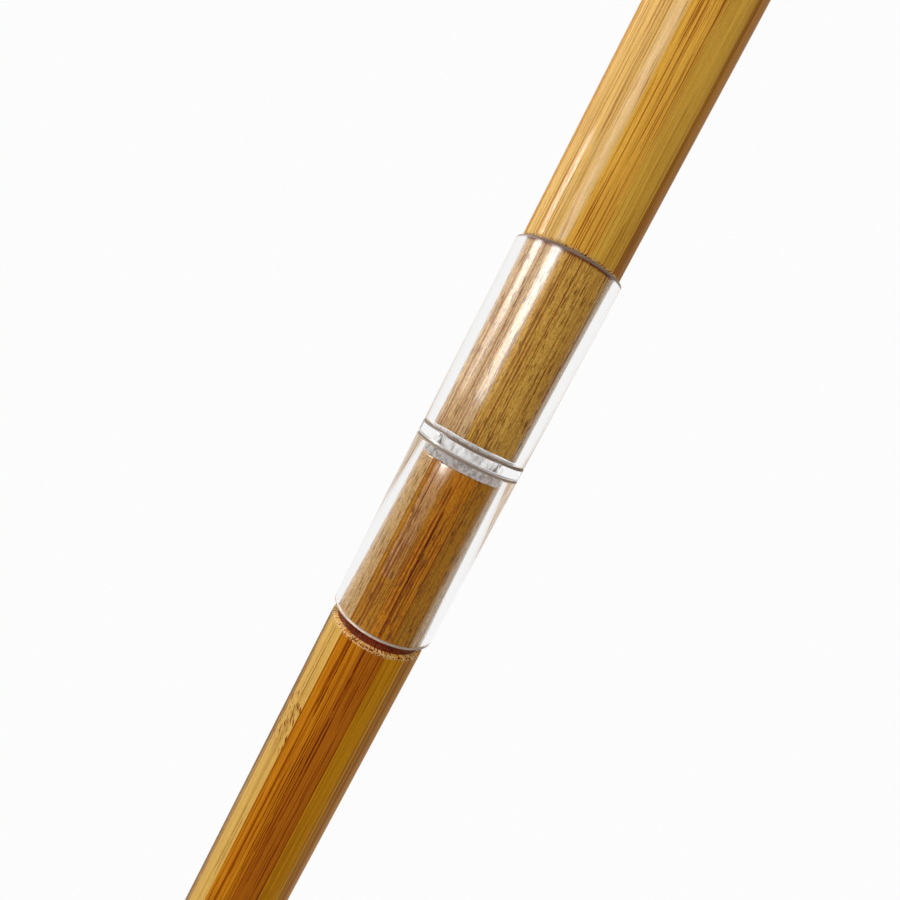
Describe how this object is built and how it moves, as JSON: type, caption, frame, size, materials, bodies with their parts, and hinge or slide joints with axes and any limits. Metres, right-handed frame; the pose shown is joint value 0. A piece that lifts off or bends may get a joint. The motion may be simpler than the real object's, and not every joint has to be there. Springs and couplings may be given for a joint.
{
  "type": "bamboo flute",
  "caption": "Keyless transverse flute of glued bamboo staves in two sections, joined by a clear tuning coupler, with a cork stopper and a turned end cap.",
  "frame": {"origin": "centre of the foot section's open end, which the flute stands on", "axes": "+Z along the flute's axis from the foot end to the end cap; -Y is the side of the embouchure and finger holes"},
  "size_m": [0.028, 0.028, 0.5992],
  "materials": {
    "pale_bamboo": "glossy lacquer",
    "amber_bamboo": "glossy lacquer",
    "olive_bamboo": "glossy lacquer",
    "russet_bamboo": "glossy lacquer",
    "clear_acrylic": "clear, polished outside, sawn end faces",
    "cork": "matte cork",
    "cap_wood": "satin oiled"
  },
  "bodies": {
    "foot": {"foot_finger_stave": "amber_bamboo", "foot_stave_2": "olive_bamboo", "foot_stave_3": "amber_bamboo", "foot_stave_4": "pale_bamboo", "foot_stave_5": "amber_bamboo", "foot_stave_6": "russet_bamboo", "foot_stave_7": "olive_bamboo", "foot_stave_8": "amber_bamboo", "foot_stave_9": "pale_bamboo", "foot_stave_10": "olive_bamboo"},
    "coupler": {"coupler_upper_tube": "clear_acrylic", "coupler_stop_ring": "clear_acrylic", "coupler_lower_tube": "clear_acrylic"},
    "head": {"head_lip_stave": "amber_bamboo", "head_stave_2": "pale_bamboo", "head_stave_3": "amber_bamboo", "head_stave_4": "pale_bamboo", "head_stave_5": "pale_bamboo", "head_stave_6": "amber_bamboo", "head_stave_7": "olive_bamboo", "head_stave_8": "russet_bamboo", "head_stave_9": "pale_bamboo", "head_stave_10": "amber_bamboo"},
    "stopper": {"cork_stopper": "cork"},
    "cap": {"end_cap": "cap_wood", "cap_cork_band": "cork"}
  },
  "joints": [
    {"name": "tuning_slide", "type": "slide", "parent": "foot", "child": "coupler", "axis": [0, 0, 1], "range_m": [-0.0026, 0.055]},
    {"name": "head_turn", "type": "hinge", "parent": "coupler", "child": "head", "pos_m": [0, 0, 0.4429], "axis": [0, 0, 1], "continuous": true},
    {"name": "stopper_slide", "type": "slide", "parent": "head", "child": "stopper", "axis": [0, 0, 1], "range_m": [-0.005, 0.005]},
    {"name": "cap_pull", "type": "slide", "parent": "head", "child": "cap", "axis": [0, 0, 1], "range_m": [0, 0.02]}
  ]
}
